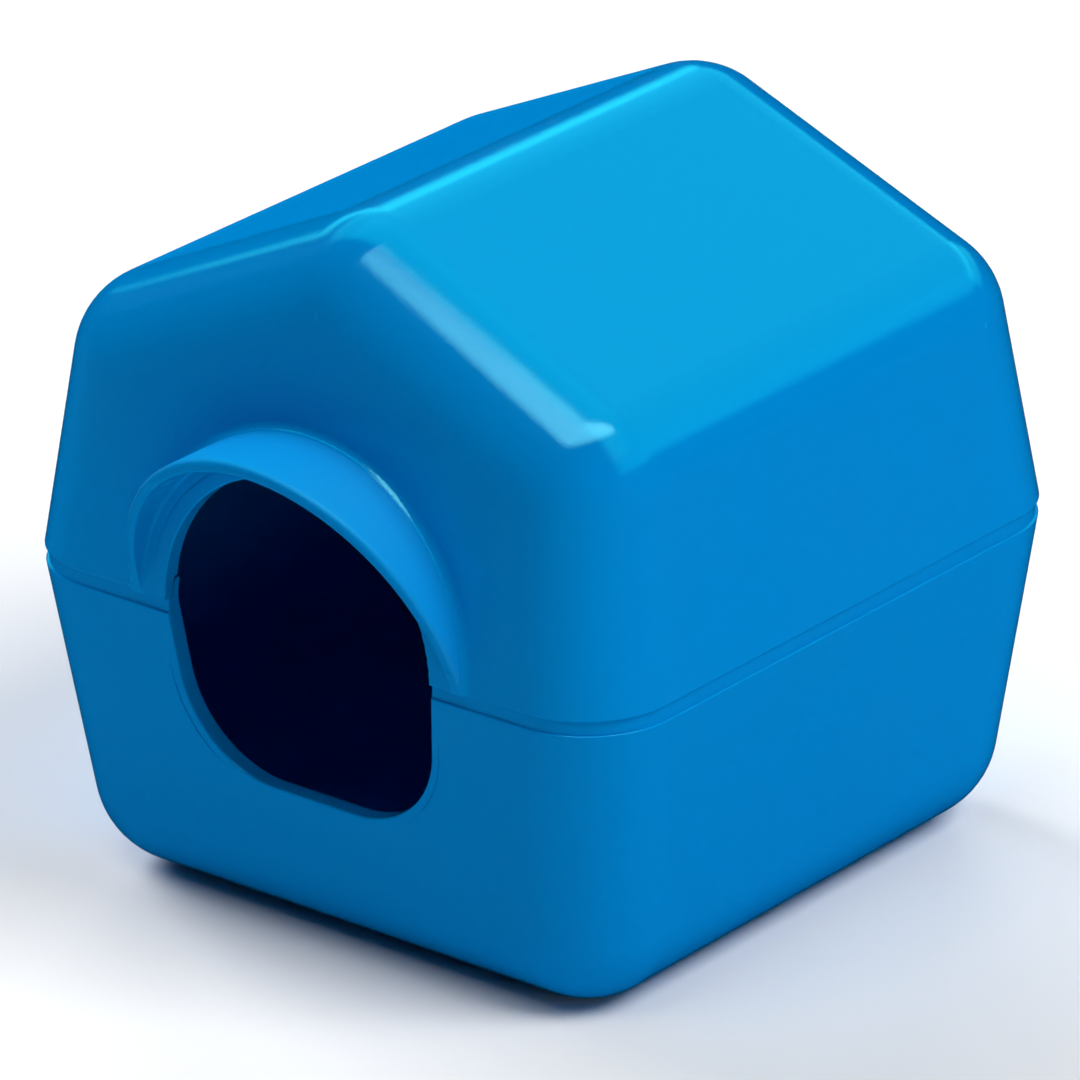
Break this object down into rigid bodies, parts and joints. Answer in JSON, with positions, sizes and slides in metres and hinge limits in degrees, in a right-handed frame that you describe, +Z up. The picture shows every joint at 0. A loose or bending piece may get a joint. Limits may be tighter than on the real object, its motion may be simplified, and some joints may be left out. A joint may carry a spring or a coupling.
{
  "type": "hamster house",
  "caption": "Small gabled nesting house for a dwarf hamster: tray base and lift-off roof with an arched doorway under a half-round visor.",
  "frame": {"origin": "middle of the flat underside", "axes": "+Z up, -Y the front with the doorway and its visor, +X to the right seen from the front"},
  "size_m": [0.1, 0.1096, 0.0991],
  "materials": {
    "blue_plastic": "satin, fine spark-eroded grain"
  },
  "bodies": {
    "base": {"base_shell": "blue_plastic"},
    "roof": {"roof_shell": "blue_plastic"}
  },
  "joints": [
    {"name": "roof_lift", "type": "slide", "parent": "base", "child": "roof", "axis": [0, 0, 1], "range_m": [0, 0.06]}
  ]
}
